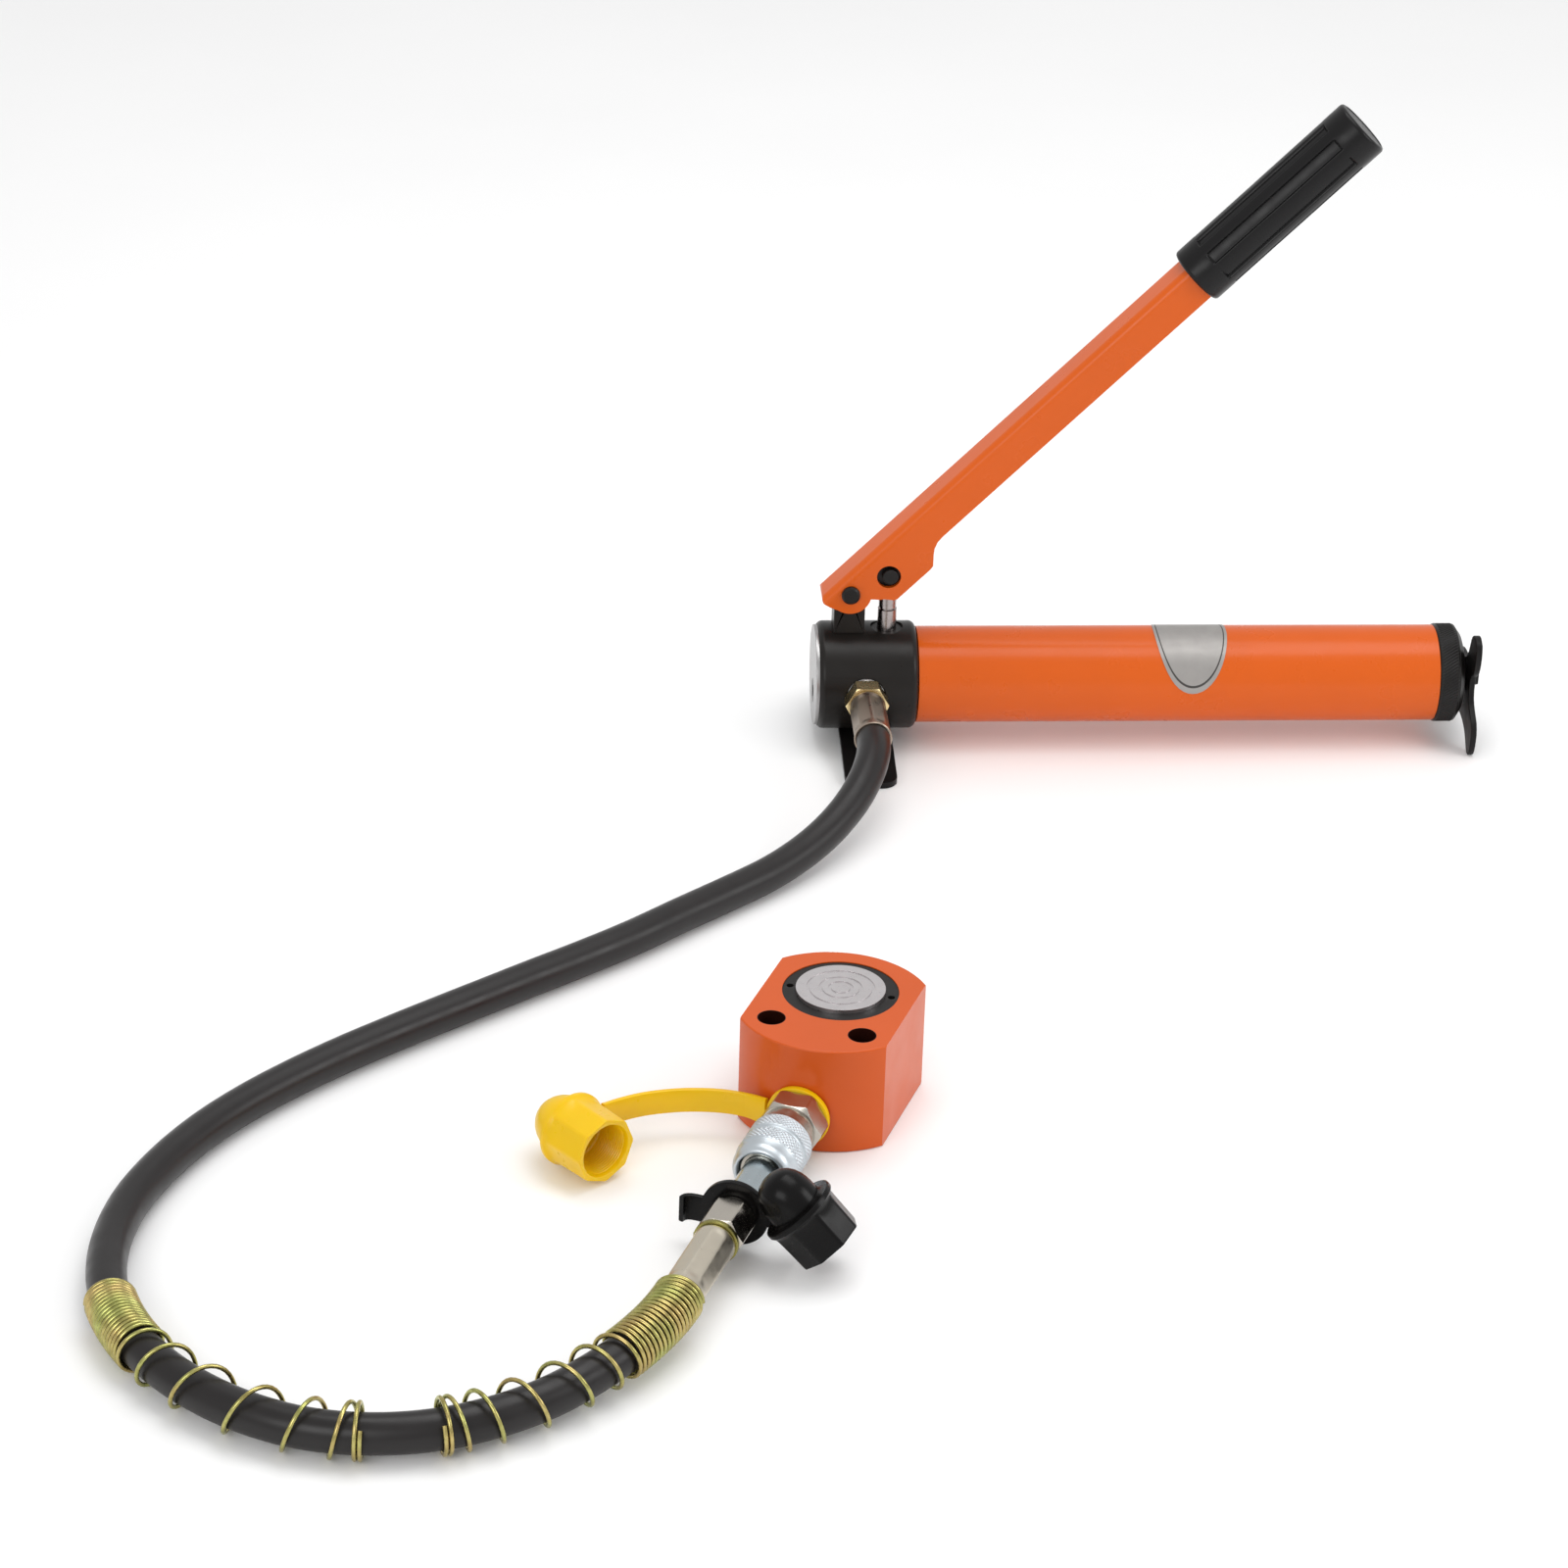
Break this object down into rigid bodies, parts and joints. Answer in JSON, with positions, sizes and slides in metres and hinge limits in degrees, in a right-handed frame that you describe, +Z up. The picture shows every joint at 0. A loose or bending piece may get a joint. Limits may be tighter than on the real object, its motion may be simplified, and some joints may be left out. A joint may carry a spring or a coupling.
{
  "type": "hydraulic hand pump",
  "caption": "Lever-operated hydraulic hand pump with tube reservoir, feet, flexible hose, quick coupler with dust caps, and a low-height single-acting ram.",
  "frame": {"origin": "on the floor, midway along and across the pump, lever, coupler and ram together, the free hose left out", "axes": "+X along the pump's axis from the head to the rear foot, +Y from the ram's side towards the pump's far side, +Z up"},
  "size_m": [0.6682, 0.6887, 0.3338],
  "materials": {
    "orange_paint": "orange enamel, semi-gloss",
    "black_paint": "black enamel, semi-gloss",
    "black_oxide": "blackened steel",
    "bright_steel": "machined steel",
    "nickel": "nickel plated, turned",
    "zinc": "pale zinc plating",
    "yellow_zinc": "yellow zinc plating",
    "hose_rubber": "satin black rubber",
    "seal_rubber": "black rubber",
    "grip_plastic": "black moulded plastic",
    "yellow_plastic": "yellow moulded plastic, gloss",
    "black_plastic": "black moulded plastic, soft gloss",
    "label": "blank silver foil label"
  },
  "bodies": {
    "base": {"pump_head": "black_paint", "face_plate": "bright_steel", "relief_plug": "black_oxide", "delivery_spring": "bright_steel", "delivery_ball": "bright_steel", "suction_ball": "bright_steel", "suction_seat": "bright_steel", "fulcrum_lug": "black_paint", "gland_nut": "black_oxide", "piston_seal": "seal_rubber", "reservoir_tube": "orange_paint", "tube_seals": "seal_rubber", "oil_bladder": "seal_rubber", "tie_rod": "bright_steel", "rear_cap": "black_oxide", "foot_spacer": "black_oxide", "rear_foot": "black_paint", "rear_foot_nut": "bright_steel", "front_foot": "black_paint", "front_foot_screws": "bright_steel", "release_ball": "bright_steel", "label_plate": "label", "outlet_washer": "bright_steel", "outlet_nut": "yellow_zinc", "hose_ferrule_pump": "zinc", "hose": "hose_rubber", "spring_guard_pump": "yellow_zinc", "spring_guard_ram": "yellow_zinc", "hose_ferrule_ram": "zinc", "hose_adaptor": "nickel", "male_coupler": "zinc", "male_dust_cap": "black_plastic", "coupler_body": "nickel", "coupler_seal": "seal_rubber", "lock_balls": "bright_steel", "female_dust_cap": "yellow_plastic", "cylinder_body": "orange_paint", "stop_ring": "black_oxide", "return_spring": "bright_steel", "base_plug": "bright_steel"},
    "lever": {"handle": "orange_paint", "handle_grip": "grip_plastic", "pivot_pin": "black_oxide", "pivot_clip": "bright_steel"},
    "pump_piston": {"piston": "bright_steel", "piston_pin": "black_oxide"},
    "ram_plunger": {"ram": "bright_steel", "ram_seal": "seal_rubber"},
    "release_knob": {"release_valve": "black_oxide"},
    "lock_sleeve": {"coupler_sleeve": "nickel"}
  },
  "joints": [
    {"name": "lever_pivot", "type": "hinge", "parent": "base", "child": "lever", "pos_m": [-0.0795, 0.195, 0.082], "axis": [0, 1, 0], "range_deg": [-3, 46.5]},
    {"name": "piston_stroke", "type": "slide", "parent": "base", "child": "pump_piston", "axis": [0, 0, 1], "range_m": [-0.0175, 0.0015]},
    {"name": "ram_lift", "type": "slide", "parent": "base", "child": "ram_plunger", "axis": [0, 0, 1], "range_m": [0, 0.012], "stiffness_N_per_m": 1500, "springref_m": -0.01, "deforming": ["return_spring"]},
    {"name": "release_turn", "type": "hinge", "parent": "base", "child": "release_knob", "pos_m": [-0.082, 0.228, 0.033], "axis": [0, 1, 0], "range_deg": [0, 270]},
    {"name": "sleeve_pull", "type": "slide", "parent": "base", "child": "lock_sleeve", "axis": [0.3827, 0.9239, 0], "range_m": [0, 0.004], "stiffness_N_per_m": 1500, "springref_m": -0.002}
  ],
  "couplings": [
    {"joint": "piston_stroke", "follows": "lever_pivot", "m_per_rad": -0.0204}
  ]
}
